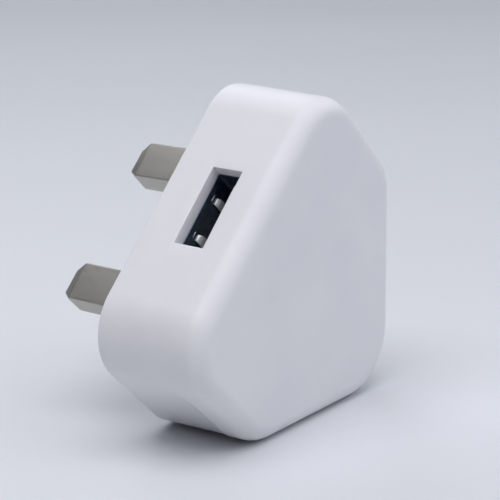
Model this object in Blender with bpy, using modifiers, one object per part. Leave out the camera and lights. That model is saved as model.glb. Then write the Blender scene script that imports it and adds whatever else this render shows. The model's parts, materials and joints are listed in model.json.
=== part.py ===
"""A three-pin USB wall charger, as an assembly of separate pieces.

Every piece is modelled in the plug's own directions, in metres:
x runs along the line through the live and neutral pins, +y is the way the pins
point, and z runs from the USB side (z = 0) towards the earth pin. The engagement
face, which meets the wall socket, is y = 0, so the inside is at negative y.
At the end the whole charger is turned to lie on its slanted flank, on z = 0.
"""
from math import atan, cos, pi, sin, sqrt, tan

import bmesh
import bpy
from mathutils import Matrix, Vector

MM = 0.001
GAP = 0.3 * MM

# Case outline, seen along the pins: a house shape with rounded corners.
HALF_WIDTH = 24.7 * MM
SHOULDER_Z = 24.0 * MM
APEX_Z = SHOULDER_Z + HALF_WIDTH
BASE_RADIUS = 8.5 * MM
SHOULDER_RADIUS = 8.0 * MM
APEX_RADIUS = 10.4 * MM
ARC_STEP = pi / 20

# Case depth, walls and moulding taper.
DEPTH = 17.8 * MM
WALL = 1.8 * MM
TAPER = 0.022
TAPER_Z = 22.2 * MM
FRONT_FILLET = 2.9 * MM
BACK_FILLET = 0.3 * MM
FILLET_SEGMENTS = 5

# Finger grips: shallow scoops round both shoulders, open at the back. Each reaches
# further along the side wall than along the flank, and keeps near its full depth until
# close to its ends.
GRIP_DEPTH = 0.15 * MM
GRIP_SIDE_REACH = 14.0 * MM
GRIP_FLANK_REACH = 10.0 * MM
GRIP_LEDGE_Y = -11.2 * MM
GRIP_LEDGE_BOW = 1.5 * MM
GRIP_SQUARENESS = 6
GRIP_POINTS = 25
GRIP_OVERSIZE = 3.0 * MM
GRIP_RUN_OUT = 0.008 * MM

# Ribs inside the case that carry the pin plate: feet on the outline, and the
# direction from each foot towards the middle.
RIBS = (
    (HALF_WIDTH, 12.5 * MM, -1.0, 0.0),
    (15.0 * MM, 0.0, 0.0, 1.0),
    (12.0 * MM, APEX_Z - 12.0 * MM, -sqrt(0.5), -sqrt(0.5)),
)
RIB_HALF_WIDTH = 0.8 * MM
RIB_FOOT = 1.5 * MM
RIB_CREST = 3.15 * MM

# Pin plate and the three pins.
PLATE_THICKNESS = 2.2 * MM
PIN_Z = 11.5 * MM
PIN_X = 11.115 * MM
PIN_WIDTH = 6.35 * MM
PIN_THICKNESS = 3.97 * MM
PIN_LENGTH = 17.7 * MM
EARTH_Z = PIN_Z + 22.23 * MM
EARTH_WIDTH = 7.95 * MM
EARTH_LENGTH = 22.7 * MM
TIP_LENGTH = 2.0 * MM
TIP_TAPER = 1.13 * MM
FLANGE_MARGIN = 1.0 * MM
FLANGE_THICKNESS = 0.8 * MM

# Contact strips between the pins and the board.
STRIP_THICKNESS = 0.4 * MM
STRIP_WIDTH = 4.0 * MM
STRIP_STEP = 0.54 * MM

# USB socket: opening, metal shell, latch springs, insulator and contacts.
USB_Y = -9.0 * MM
SLOT_WIDTH = 12.7 * MM
SLOT_HEIGHT = 4.95 * MM
SHELL_WIDTH = 12.6 * MM
SHELL_HEIGHT = 5.12 * MM
SHELL_WALL = 0.3 * MM
SHELL_Z = (2.4 * MM, 16.0 * MM)
LATCH_X = 3.1 * MM
LATCH_WIDTH = 1.5 * MM
LATCH_BEND = 0.42 * MM
WINDOW_WIDTH = 2.1 * MM
WINDOW_Z = (3.3 * MM, 9.9 * MM)
LEG_Z = 8.0 * MM
LEG_WIDTH = 2.0 * MM
TONGUE_WIDTH = 10.6 * MM
TONGUE_THICKNESS = 1.5 * MM
TONGUE_OFFSET = 0.76 * MM
TONGUE_TIP_Z = 2.7 * MM
BLOCK_Z = (11.6 * MM, 15.7 * MM)
CONTACT_XS = (-3.5 * MM, -1.0 * MM, 1.0 * MM, 3.5 * MM)
CONTACT_WIDTH = 0.8 * MM
CONTACT_THICKNESS = 0.3 * MM

# Main board, just behind the USB socket.
BOARD_THICKNESS = 1.0 * MM
BOARD_INSET = WALL + 1.65 * MM
BOARD_FRONT_Y = USB_Y + SHELL_HEIGHT / 2 + SHELL_WALL + GAP
BOARD_BACK_Y = BOARD_FRONT_Y + BOARD_THICKNESS
SEAT_Y = BOARD_FRONT_Y - GAP
UNDER_Y = BOARD_BACK_Y + GAP
LEAD_END_Y = BOARD_BACK_Y + 0.9 * MM
LEAD_DIAMETER = 0.6 * MM

# Transformer, with its winding axis along z.
CORE_Z = 24.6 * MM
CORE_HALF_LENGTH = 6.2 * MM
CORE_HALF_WIDTH = 6.7 * MM
CORE_HALF_HEIGHT = 2.6 * MM
CORE_WEB = 2.2 * MM
CORE_LEG = 1.8 * MM
CORE_CENTRE_LEG = 1.55 * MM
BOBBIN_WALL = 0.5 * MM
BOBBIN_HALF_LENGTH = 3.7 * MM
BOBBIN_CHEEK = 0.6 * MM
COIL_HALF_WIDTH = 4.6 * MM
COIL_HALF_HEIGHT = 4.7 * MM
CORE_Y = SEAT_Y - COIL_HALF_HEIGHT - 0.06 * MM
RAIL_HALF_WIDTH = 5.5 * MM
RAIL_HEIGHT = 1.3 * MM
RAIL_Z = (2.9 * MM, 6.8 * MM)
TRANSFORMER_PIN_XS = (-3.81 * MM, -1.27 * MM, 1.27 * MM, 3.81 * MM)
TRANSFORMER_PIN_Z = 5.6 * MM

# Capacitors that lie on the board, each (name, x, z low, z high, radius, lead pitch).
CAPACITORS = (
    ("bulk_capacitor_a", -12.7 * MM, 16.6 * MM, 26.2 * MM, 4.0 * MM, 3.5 * MM),
    ("bulk_capacitor_b", 12.7 * MM, 16.6 * MM, 26.2 * MM, 4.0 * MM, 3.5 * MM),
    ("output_capacitor", 12.3 * MM, 3.8 * MM, 14.2 * MM, 3.15 * MM, 2.5 * MM),
)
CAPACITOR_CRIMP = 0.4 * MM
LEAD_RUN = 1.4 * MM

# Output choke: a ferrite drum with its winding, standing on the board.
CHOKE_CENTRE = (-12.0 * MM, 7.6 * MM)
CHOKE_PITCH = 3.6 * MM
CHOKE_RADIUS = 3.0 * MM
CHOKE_HEIGHT = 7.0 * MM
CHOKE_NECK = 1.5 * MM
CHOKE_RIM = 1.0 * MM

# Small parts on the front of the board: (x, z) centres and sizes.
DIODE_CENTRE = (-12.0 * MM, 14.2 * MM)
DIODE_SIZE = (4.3 * MM, 2.2 * MM, 2.6 * MM)
INDUCTOR_CENTRE = (9.6 * MM, 31.0 * MM)
INDUCTOR_PITCH = 2.5 * MM
INDUCTOR_RADIUS = 2.5 * MM
INDUCTOR_HEIGHT = 6.5 * MM
DISC_CENTRE = (-9.3 * MM, 31.2 * MM)
DISC_PITCH = 3.8 * MM
DISC_RADIUS = 3.0 * MM
DISC_THICKNESS = 2.8 * MM
RESISTOR_Z = 37.0 * MM
RESISTOR_RADIUS = 1.5 * MM
RESISTOR_HALF_LENGTH = 4.0 * MM

# Parts on the back of the board: (x, z) centres and sizes.
CHIP_CENTRE = (9.2 * MM, 21.2 * MM)
CHIP_SIZE = (4.9 * MM, 1.4 * MM, 3.9 * MM)
BRIDGE_CENTRE = (-9.2 * MM, 21.2 * MM)
BRIDGE_SIZE = (4.8 * MM, 1.4 * MM, 4.0 * MM)
CHIP_PART_SIZE = (2.0 * MM, 0.6 * MM, 1.25 * MM)
CHIP_PARTS = (
    ("chip_resistor_a", (-3.4 * MM, 24.8 * MM)),
    ("chip_resistor_b", (0.0, 24.8 * MM)),
    ("chip_resistor_c", (3.4 * MM, 24.8 * MM)),
    ("chip_capacitor_a", (-1.9 * MM, 22.0 * MM)),
    ("chip_capacitor_b", (1.9 * MM, 22.0 * MM)),
)

PARTS = "usb_wall_charger"
CUTTERS = "cutters"


# --- Scene helpers -------------------------------------------------------------

def clear_scene():
    for obj in list(bpy.data.objects):
        bpy.data.objects.remove(obj, do_unlink=True)


def collection(name):
    found = bpy.data.collections.get(name)
    if found is None:
        found = bpy.data.collections.new(name)
        bpy.context.scene.collection.children.link(found)
    return found


def material(name, colour, roughness, metallic=0.0):
    made = bpy.data.materials.new(name)
    made.use_nodes = True
    shader = made.node_tree.nodes["Principled BSDF"]
    shader.inputs["Base Color"].default_value = (*colour, 1.0)
    shader.inputs["Roughness"].default_value = roughness
    shader.inputs["Metallic"].default_value = metallic
    return made


def add_object(name, mesh, tool=False):
    obj = bpy.data.objects.new(name, mesh)
    collection(CUTTERS if tool else PARTS).objects.link(obj)
    if tool:
        obj.hide_render = True
        obj.display_type = 'WIRE'
    return obj


def mesh_from(name, build):
    """A mesh filled by build(bm), with its faces pointing out."""
    bm = bmesh.new()
    build(bm)
    bmesh.ops.recalc_face_normals(bm, faces=bm.faces)
    mesh = bpy.data.meshes.new(name)
    bm.to_mesh(mesh)
    bm.free()
    return mesh


def add_box(bm, low, high):
    low, high = Vector(low), Vector(high)
    place = Matrix.Translation((low + high) / 2) @ Matrix.Diagonal((*(high - low), 1.0))
    return bmesh.ops.create_cube(bm, size=1.0, matrix=place)["verts"]


def add_cylinder(bm, start, end, radius, segments=24):
    start, end = Vector(start), Vector(end)
    turn = (end - start).to_track_quat('Z', 'Y').to_matrix().to_4x4()
    place = Matrix.Translation((start + end) / 2) @ turn
    return bmesh.ops.create_cone(bm, cap_ends=True, segments=segments, radius1=radius,
                                 radius2=radius, depth=(end - start).length, matrix=place)["verts"]


def box(name, low, high, tool=False):
    return add_object(name, mesh_from(name, lambda bm: add_box(bm, low, high)), tool)


def boxes(name, corners, tool=False):
    """One object of several separate boxes."""
    def build(bm):
        for low, high in corners:
            add_box(bm, low, high)
    return add_object(name, mesh_from(name, build), tool)


def cylinder(name, start, end, radius, segments=24, tool=False):
    mesh = mesh_from(name, lambda bm: add_cylinder(bm, start, end, radius, segments))
    mesh.shade_smooth()
    mesh.set_sharp_from_angle(angle=pi / 6)
    return add_object(name, mesh, tool)


def mesh_of_curve(name, curve, tool):
    """Turn a curve into a closed mesh object, in place."""
    drawn = add_object(name + "_curve", curve, tool)
    graph = bpy.context.evaluated_depsgraph_get()
    mesh = bpy.data.meshes.new_from_object(drawn.evaluated_get(graph))
    mesh.name = name
    mesh.transform(drawn.matrix_world)
    bpy.data.objects.remove(drawn, do_unlink=True)
    bm = bmesh.new()
    bm.from_mesh(mesh)
    bmesh.ops.remove_doubles(bm, verts=bm.verts, dist=1e-7)
    bmesh.ops.recalc_face_normals(bm, faces=bm.faces)
    bm.to_mesh(mesh)
    bm.free()
    return add_object(name, mesh, tool)


def add_spline(curve, points, cyclic):
    spline = curve.splines.new('POLY')
    spline.points.add(len(points) - 1)
    for place, point in zip(spline.points, points):
        place.co = (*point, 1.0)
    spline.use_cyclic_u = cyclic


def wires(name, paths):
    """Round component leads, one along each path."""
    curve = bpy.data.curves.new(name, 'CURVE')
    curve.dimensions = '3D'
    curve.bevel_depth = LEAD_DIAMETER / 2
    curve.bevel_resolution = 1
    curve.use_fill_caps = True
    for path in paths:
        add_spline(curve, path, False)
    return mesh_of_curve(name, curve, True)


def boolean(obj, tool, operation):
    step = obj.modifiers.new(f"{operation.lower()} {tool.name}", 'BOOLEAN')
    step.operation = operation
    step.solver = 'EXACT'
    step.object = tool


def cut(obj, tool):
    boolean(obj, tool, 'DIFFERENCE')


def join(obj, tool):
    boolean(obj, tool, 'UNION')


def bevel(obj, width, segments=2, angle=pi / 4):
    step = obj.modifiers.new("rounded edges", 'BEVEL')
    step.width = width
    step.segments = segments
    step.limit_method = 'ANGLE'
    step.angle_limit = angle


# --- Flat outlines --------------------------------------------------------------

def plate(name, points, back_y, front_y, tool=False):
    """A closed (x, z) outline, filled and extruded from back_y to front_y."""
    flat = bpy.data.curves.new(name, 'CURVE')
    flat.dimensions = '2D'
    add_spline(flat, [(x, z, 0.0) for x, z in points], True)
    flat.fill_mode = 'BOTH'
    flat.extrude = (back_y - front_y) / 2
    slab = mesh_of_curve(name, flat, tool)
    middle = Matrix.Translation((0, (back_y + front_y) / 2, 0))
    slab.data.transform(middle @ Matrix.Rotation(pi / 2, 4, 'X'))
    return slab


def round_corner(before, corner, after, radius):
    """Points on the arc that rounds a corner of an anticlockwise outline."""
    corner = Vector(corner)
    to_before = (Vector(before) - corner).normalized()
    to_after = (Vector(after) - corner).normalized()
    half_angle = to_before.angle(to_after) / 2
    centre = corner + (to_before + to_after).normalized() * (radius / sin(half_angle))
    turn = pi - 2 * half_angle
    steps = max(2, round(turn / ARC_STEP))
    start = corner + to_before * (radius / tan(half_angle)) - centre
    for step in range(steps + 1):
        angle = turn * step / steps
        x = start.x * cos(angle) - start.y * sin(angle)
        z = start.x * sin(angle) + start.y * cos(angle)
        yield centre + Vector((x, z))


def case_outline(inset=0.0):
    """The case's house-shaped outline, moved inwards by inset."""
    slope = inset * (sqrt(2) - 1)
    corners = (
        (-HALF_WIDTH + inset, inset),
        (HALF_WIDTH - inset, inset),
        (HALF_WIDTH - inset, SHOULDER_Z - slope),
        (0.0, APEX_Z - inset * sqrt(2)),
        (-HALF_WIDTH + inset, SHOULDER_Z - slope),
    )
    radii = (BASE_RADIUS, BASE_RADIUS, SHOULDER_RADIUS, APEX_RADIUS, SHOULDER_RADIUS)
    points = []
    for index, (corner, radius) in enumerate(zip(corners, radii)):
        before = corners[index - 1]
        after = corners[(index + 1) % len(corners)]
        points.extend(round_corner(before, corner, after, radius - inset))
    return points


def taper_scale(y):
    return 1.0 + TAPER * min(y, 0.0) / DEPTH


def taper(obj):
    """Narrow a slab towards the front, as a moulding that has to leave its tool."""
    for vertex in obj.data.vertices:
        scale = taper_scale(vertex.co.y)
        vertex.co.x *= scale
        vertex.co.z = TAPER_Z + (vertex.co.z - TAPER_Z) * scale


# --- Case and pin plate -----------------------------------------------------------

def mark_case_fillets(mesh):
    """One flat face at each end, with full bevel weight on the front rim and a
    small one on the back rim."""
    bm = bmesh.new()
    bm.from_mesh(mesh)
    bmesh.ops.dissolve_limit(bm, angle_limit=0.002, verts=bm.verts, edges=bm.edges)
    weight = bm.edges.layers.float.new("bevel_weight_edge")
    for edge in bm.edges:
        ys = [vertex.co.y for vertex in edge.verts]
        if max(ys) < -DEPTH + 1e-6:
            edge[weight] = 1.0
        elif min(ys) > -1e-6:
            edge[weight] = BACK_FILLET / FRONT_FILLET
    bm.to_mesh(mesh)
    bm.free()


def shoulder_point(distance, offset):
    """A point offset outwards from the outline, at a distance along it from the
    middle of the +x shoulder: negative towards the USB side, positive to the apex."""
    half_arc = SHOULDER_RADIUS * pi / 8
    centre_x = HALF_WIDTH - SHOULDER_RADIUS
    centre_z = SHOULDER_Z - SHOULDER_RADIUS * tan(pi / 8)
    angle = pi / 8 + max(-half_arc, min(half_arc, distance)) / SHOULDER_RADIUS
    straight = distance - max(-half_arc, min(half_arc, distance))
    out = Vector((cos(angle), sin(angle)))
    along = Vector((-sin(angle), cos(angle)))
    return Vector((centre_x, centre_z)) + out * (SHOULDER_RADIUS + offset) + along * straight


def grip_fade(distance):
    reach = GRIP_FLANK_REACH if distance > 0.0 else GRIP_SIDE_REACH
    return 1.0 - min(1.0, abs(distance) / reach) ** GRIP_SQUARENESS


def grip_cutter(name, side):
    """The scoop round one shoulder. Its ledge bows forward in the middle."""
    stride = (GRIP_SIDE_REACH + GRIP_FLANK_REACH) / (GRIP_POINTS - 1)
    steps = [stride * index - GRIP_SIDE_REACH for index in range(GRIP_POINTS)]
    floor = [shoulder_point(step, GRIP_RUN_OUT - GRIP_DEPTH * grip_fade(step)) for step in steps]
    outside = [shoulder_point(step, GRIP_OVERSIZE) for step in reversed(steps)]
    outline = [(side * point.x, point.y) for point in floor + outside]
    tool = plate(name, outline, MM, GRIP_LEDGE_Y, tool=True)
    middle = Vector((side * shoulder_point(0.0, 0.0).x, shoulder_point(0.0, 0.0).y))
    for vertex in tool.data.vertices:
        if vertex.co.y < 0.0:
            away = (Vector((vertex.co.x, vertex.co.z)) - middle).length
            towards_apex = 1.0 if vertex.co.z > middle.y else -1.0
            vertex.co.y -= GRIP_LEDGE_BOW * grip_fade(away * towards_apex)
    taper(tool)
    return tool


def add_ribs(case):
    """Posts up the inside of the walls, for the pin plate to rest on."""
    for index, (foot_x, foot_z, inward_x, inward_z) in enumerate(RIBS):
        foot, inward = Vector((foot_x, foot_z)), Vector((inward_x, inward_z))
        along = Vector((-inward.y, inward.x)) * RIB_HALF_WIDTH
        corners = (foot + inward * RIB_FOOT - along, foot + inward * RIB_CREST - along,
                   foot + inward * RIB_CREST + along, foot + inward * RIB_FOOT + along)
        for side, name in ((1, "right"), (-1, "left")):
            outline = [(side * corner.x, corner.y) for corner in corners]
            join(case, plate(f"rib_{name}_{index}", outline, -PLATE_THICKNESS - GAP,
                             -DEPTH + WALL - 0.4 * MM, tool=True))


def make_case():
    case = plate("case", case_outline(), 0.0, -DEPTH)
    mark_case_fillets(case.data)
    taper(case)
    rounding = case.modifiers.new("fillets", 'BEVEL')
    rounding.width = FRONT_FILLET
    rounding.segments = FILLET_SEGMENTS
    rounding.limit_method = 'WEIGHT'
    rounding.use_clamp_overlap = False
    cavity = plate("case_cavity", case_outline(WALL), MM, -DEPTH + WALL, tool=True)
    taper(cavity)
    cut(case, cavity)
    slot = box("usb_slot", (-SLOT_WIDTH / 2, USB_Y - SLOT_HEIGHT / 2, -MM),
               (SLOT_WIDTH / 2, USB_Y + SLOT_HEIGHT / 2, 2 * WALL), tool=True)
    cut(case, slot)
    cut(case, grip_cutter("grip_scoop_right", 1))
    cut(case, grip_cutter("grip_scoop_left", -1))
    add_ribs(case)
    return case


def pin_sizes():
    """Each pin: name, x, z, width along x, width along z, length."""
    return (
        ("live_pin", PIN_X, PIN_Z, PIN_WIDTH, PIN_THICKNESS, PIN_LENGTH),
        ("neutral_pin", -PIN_X, PIN_Z, PIN_WIDTH, PIN_THICKNESS, PIN_LENGTH),
        ("earth_pin", 0.0, EARTH_Z, PIN_THICKNESS, EARTH_WIDTH, EARTH_LENGTH),
    )


def make_pin_plate():
    base = plate("pin_plate", case_outline(WALL + GAP), 0.0, -PLATE_THICKNESS)
    taper(base)
    for name, x, z, width, height, _ in pin_sizes():
        half_x, half_z = width / 2 + GAP, height / 2 + GAP
        cut(base, box(name + "_aperture", (x - half_x, -2 * PLATE_THICKNESS, z - half_z),
                      (x + half_x, MM, z + half_z), tool=True))
    return base


# --- Pins and their contact strips ---------------------------------------------------

def make_pin(name, x, z, width, height, length):
    """A blade with a tapered tip, and a flange that bears on the plate's inside."""
    inner_y = -PLATE_THICKNESS - GAP

    def blade(bm):
        add_box(bm, (x - width / 2, inner_y - FLANGE_THICKNESS / 2, z - height / 2),
                (x + width / 2, length - TIP_LENGTH, z + height / 2))
        tip = [face for face in bm.faces if face.normal.y > 0.9]
        grown = bmesh.ops.extrude_face_region(bm, geom=tip)["geom"]
        for vertex in (item for item in grown if isinstance(item, bmesh.types.BMVert)):
            vertex.co.y = length
            vertex.co.x -= TIP_TAPER if vertex.co.x > x else -TIP_TAPER
            vertex.co.z -= TIP_TAPER if vertex.co.z > z else -TIP_TAPER
        bmesh.ops.delete(bm, geom=tip, context='FACES')

    pin = add_object(name, mesh_from(name, blade))
    flange = box(name + "_flange",
                 (x - width / 2 - FLANGE_MARGIN, inner_y - FLANGE_THICKNESS,
                  z - height / 2 - FLANGE_MARGIN),
                 (x + width / 2 + FLANGE_MARGIN, inner_y, z + height / 2 + FLANGE_MARGIN), tool=True)
    join(pin, flange)
    return pin


def make_pin_contact(name, side):
    """A stepped spring strip from under a pin's flange to a pad on the board."""
    high = -PLATE_THICKNESS - 2 * GAP - FLANGE_THICKNESS
    low = high - STRIP_STEP
    bend_x, inner_x, outer_x = 16.0 * MM, 8.6 * MM, 19.4 * MM
    lip = STRIP_THICKNESS
    profile = ((inner_x, high - lip), (bend_x, high - lip), (bend_x + lip, low - lip),
               (outer_x, low - lip), (outer_x, low), (bend_x + 2 * lip, low),
               (bend_x + lip, high), (inner_x, high))
    outline = [(side * x, y) for x, y in profile]
    strip = plate(name, outline, STRIP_WIDTH / 2, -STRIP_WIDTH / 2)
    turn = Matrix.Rotation(-pi / 2, 4, 'X')
    strip.data.transform(Matrix.Translation((0, 0, PIN_Z)) @ turn)


# --- USB socket -----------------------------------------------------------------------

def make_usb_shell():
    """A rectangular steel sleeve, with two latch springs on each wide wall."""
    half_x, half_y = SHELL_WIDTH / 2, SHELL_HEIGHT / 2
    low_z, high_z = SHELL_Z
    shell = box("usb_shell", (-half_x - SHELL_WALL, USB_Y - half_y - SHELL_WALL, low_z),
                (half_x + SHELL_WALL, USB_Y + half_y + SHELL_WALL, high_z))
    cut(shell, box("usb_shell_bore", (-half_x, USB_Y - half_y, low_z - MM),
                   (half_x, USB_Y + half_y, high_z + MM), tool=True))
    windows = [((x - WINDOW_WIDTH / 2, USB_Y - SHELL_HEIGHT, WINDOW_Z[0]),
                (x + WINDOW_WIDTH / 2, USB_Y + SHELL_HEIGHT, WINDOW_Z[1]))
               for x in (-LATCH_X, LATCH_X)]
    cut(shell, boxes("usb_windows", windows, tool=True))
    for name, x, side in (("latch_a", -LATCH_X, 1), ("latch_b", LATCH_X, 1),
                          ("latch_c", -LATCH_X, -1), ("latch_d", LATCH_X, -1)):
        join(shell, make_latch_spring(name, x, side))
    legs = [((min(x, x + side * SHELL_WALL), USB_Y + half_y, LEG_Z - LEG_WIDTH / 2),
             (max(x, x + side * SHELL_WALL), LEAD_END_Y, LEG_Z + LEG_WIDTH / 2))
            for side, x in ((-1, -half_x), (1, half_x))]
    join(shell, boxes("usb_shell_legs", legs, tool=True))
    return shell


def make_latch_spring(name, x, side):
    """A bent tongue that grips a plug, rooted at its window's far end."""
    root, crown, tip = WINDOW_Z[1] + 0.4 * MM, WINDOW_Z[0] + 1.9 * MM, WINDOW_Z[0] + 0.9 * MM
    inner = USB_Y + side * SHELL_HEIGHT / 2
    outer = inner + side * SHELL_WALL
    outline = ((outer, root), (inner, root), (inner - side * LATCH_BEND, crown + 0.4 * MM),
               (inner - side * LATCH_BEND, crown - 0.4 * MM), (inner - side * LATCH_BEND / 3, tip),
               (outer - side * LATCH_BEND / 3, tip), (outer - side * LATCH_BEND, crown))
    spring = plate(name, outline, LATCH_WIDTH / 2, -LATCH_WIDTH / 2, tool=True)
    spring.data.transform(Matrix.Translation((x, 0, 0)) @ Matrix.Rotation(pi / 2, 4, 'Z'))
    return spring


def contact_y():
    """The faces of the contact strips: away from and towards the tongue."""
    tongue_top = USB_Y - SHELL_HEIGHT / 2 + TONGUE_OFFSET + TONGUE_THICKNESS
    return tongue_top + GAP, tongue_top + GAP + CONTACT_THICKNESS


def make_usb_insulator():
    """The plastic tongue and the block behind it, slotted for the contacts."""
    lower, upper = contact_y()
    half_x, half_y = SHELL_WIDTH / 2 - GAP, SHELL_HEIGHT / 2 - GAP
    block = box("usb_insulator", (-half_x, USB_Y - half_y, BLOCK_Z[0]),
                (half_x, USB_Y + half_y, BLOCK_Z[1]))
    tongue_top = lower - GAP
    join(block, box("usb_tongue", (-TONGUE_WIDTH / 2, tongue_top - TONGUE_THICKNESS, TONGUE_TIP_Z),
                    (TONGUE_WIDTH / 2, tongue_top, BLOCK_Z[0] + MM), tool=True))
    slots = [((x - CONTACT_WIDTH / 2 - GAP, lower - GAP, BLOCK_Z[0] - MM),
              (x + CONTACT_WIDTH / 2 + GAP, upper + GAP, BLOCK_Z[1] + MM)) for x in CONTACT_XS]
    cut(block, boxes("usb_contact_slots", slots, tool=True))
    return block


def make_usb_contacts():
    """Four strips that run back along the tongue, then down through the board."""
    lower, upper = contact_y()
    start_z, back_z = TONGUE_TIP_Z + 0.8 * MM, SHELL_Z[1] + 0.8 * MM
    front_z = back_z - CONTACT_THICKNESS
    outline = ((lower, start_z), (lower, back_z), (LEAD_END_Y, back_z), (LEAD_END_Y, front_z),
               (upper, front_z), (upper, start_z))
    for index, x in enumerate(CONTACT_XS):
        contact = plate(f"usb_contact_{index + 1}", outline, CONTACT_WIDTH / 2, -CONTACT_WIDTH / 2)
        contact.data.transform(Matrix.Translation((x, 0, 0)) @ Matrix.Rotation(pi / 2, 4, 'Z'))


# --- Leads and the main board -----------------------------------------------------------

def bent_path(x, z, level, run_x, run_z):
    """The path of a lead that leaves a part at (x, z), at the part's own level, and
    turns down through the board after a run along x or z."""
    bend = LEAD_DIAMETER
    step = (Vector((run_x, 0, run_z))).normalized() * bend
    corner = Vector((x + run_x, level, z + run_z))
    return (Vector((x, level, z)), corner - step, corner + Vector((0, bend, 0)),
            Vector((corner.x, LEAD_END_Y, corner.z)))


def join_straight_leads(part, places, root_y):
    """Join round leads at (x, z) places, from inside the part through the board."""
    def build(bm):
        for x, z in places:
            add_cylinder(bm, (x, root_y, z), (x, LEAD_END_Y, z), LEAD_DIAMETER / 2, 8)
    tool = part.name + "_leads"
    join(part, add_object(tool, mesh_from(tool, build), tool=True))


def pair(centre, pitch, along_x):
    """The (x, z) places of two leads, a pitch apart about a centre."""
    x, z = centre
    half = pitch / 2
    return [(x - half, z), (x + half, z)] if along_x else [(x, z - half), (x, z + half)]


def transformer_pin_places():
    return [(x, CORE_Z + side * TRANSFORMER_PIN_Z) for x in TRANSFORMER_PIN_XS for side in (-1, 1)]


def round_hole_places():
    places = transformer_pin_places()
    places += pair(CHOKE_CENTRE, CHOKE_PITCH, True)
    places += pair(INDUCTOR_CENTRE, INDUCTOR_PITCH, True)
    places += pair(DISC_CENTRE, DISC_PITCH, False)
    places += pair((0.0, RESISTOR_Z), 2 * (RESISTOR_HALF_LENGTH + LEAD_RUN), True)
    for _, x, _, top, _, pitch in CAPACITORS:
        places += pair((x, top + LEAD_RUN), pitch, True)
    return places


def board_holes():
    """Round holes for leads, and slots for the USB shell's legs and contacts."""
    front, back = BOARD_FRONT_Y - MM, BOARD_BACK_Y + MM
    contact_z = SHELL_Z[1] + 0.8 * MM - CONTACT_THICKNESS / 2
    slots = [(x, contact_z, CONTACT_WIDTH, CONTACT_THICKNESS) for x in CONTACT_XS]
    slots += [(side * (SHELL_WIDTH + SHELL_WALL) / 2, LEG_Z, SHELL_WALL, LEG_WIDTH)
              for side in (-1, 1)]

    def build(bm):
        for x, z in round_hole_places():
            add_cylinder(bm, (x, front, z), (x, back, z), LEAD_DIAMETER / 2 + GAP, 8)
        for x, z, width, length in slots:
            half_x, half_z = width / 2 + GAP, length / 2 + GAP
            add_box(bm, (x - half_x, front, z - half_z), (x + half_x, back, z + half_z))
    return add_object("board_holes", mesh_from("board_holes", build), tool=True)


def make_main_board():
    board = plate("main_board", case_outline(BOARD_INSET), BOARD_BACK_Y, BOARD_FRONT_Y)
    cut(board, board_holes())


# --- Transformer ---------------------------------------------------------------------------

def make_core_half(name, side):
    """An E-shaped ferrite half: a web with two outer legs and a centre leg."""
    meeting = CORE_Z + side * GAP / 2
    outer = CORE_Z + side * CORE_HALF_LENGTH
    web = outer - side * CORE_WEB
    leg = CORE_HALF_WIDTH - CORE_LEG
    outline = ((-CORE_HALF_WIDTH, outer), (CORE_HALF_WIDTH, outer), (CORE_HALF_WIDTH, meeting),
               (leg, meeting), (leg, web), (CORE_CENTRE_LEG, web), (CORE_CENTRE_LEG, meeting),
               (-CORE_CENTRE_LEG, meeting), (-CORE_CENTRE_LEG, web), (-leg, web), (-leg, meeting),
               (-CORE_HALF_WIDTH, meeting))
    return plate(name, outline, CORE_Y + CORE_HALF_HEIGHT, CORE_Y - CORE_HALF_HEIGHT)


def core_box(half_x, half_y, half_z):
    """Opposite corners of a box centred on the transformer."""
    return (-half_x, CORE_Y - half_y, CORE_Z - half_z), (half_x, CORE_Y + half_y, CORE_Z + half_z)


def tube_round_core(name, inner, outer, half_length):
    """A rectangular ring round the core's centre leg."""
    ring = box(name, *core_box(*outer, half_length))
    cut(ring, box(name + "_bore", *core_box(*inner, half_length + MM), tool=True))
    return ring


def bobbin_bore():
    return CORE_CENTRE_LEG + GAP, CORE_HALF_HEIGHT + GAP


def make_bobbin():
    """The coil former: a tube with two cheeks, and a rail of pins under each."""
    bore_x, bore_y = bobbin_bore()
    bobbin = box("transformer_bobbin",
                 *core_box(bore_x + BOBBIN_WALL, bore_y + BOBBIN_WALL, BOBBIN_HALF_LENGTH))
    cheeks, rails = [], []
    for side in (-1, 1):
        ends = sorted((side * (BOBBIN_HALF_LENGTH - BOBBIN_CHEEK), side * BOBBIN_HALF_LENGTH))
        cheeks.append(((-COIL_HALF_WIDTH, CORE_Y - COIL_HALF_HEIGHT, CORE_Z + ends[0]),
                       (COIL_HALF_WIDTH, CORE_Y + COIL_HALF_HEIGHT, CORE_Z + ends[1])))
        ends = sorted(side * z for z in RAIL_Z)
        rails.append(((-RAIL_HALF_WIDTH, SEAT_Y - RAIL_HEIGHT - 0.15 * MM, CORE_Z + ends[0]),
                      (RAIL_HALF_WIDTH, SEAT_Y - 0.15 * MM, CORE_Z + ends[1])))
    join(bobbin, boxes("bobbin_cheeks", cheeks, tool=True))
    join(bobbin, boxes("bobbin_rails", rails, tool=True))
    cut(bobbin, box("bobbin_bore", *core_box(bore_x, bore_y, 2 * BOBBIN_HALF_LENGTH), tool=True))
    join_straight_leads(bobbin, transformer_pin_places(), SEAT_Y - RAIL_HEIGHT / 2)


def make_transformer():
    bore_x, bore_y = bobbin_bore()
    former_x, former_y = bore_x + BOBBIN_WALL + GAP, bore_y + BOBBIN_WALL + GAP
    wound_x, wound_y = COIL_HALF_WIDTH - 2 * GAP, COIL_HALF_HEIGHT - 2 * GAP
    half_length = RAIL_Z[0] - GAP
    tube_round_core("transformer_winding", (former_x, former_y), (wound_x, wound_y), half_length)
    tube_round_core("transformer_tape", (wound_x + GAP, wound_y + GAP),
                    (COIL_HALF_WIDTH, COIL_HALF_HEIGHT), half_length)
    make_bobbin()
    make_core_half("transformer_core_a", -1)
    make_core_half("transformer_core_b", 1)


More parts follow.
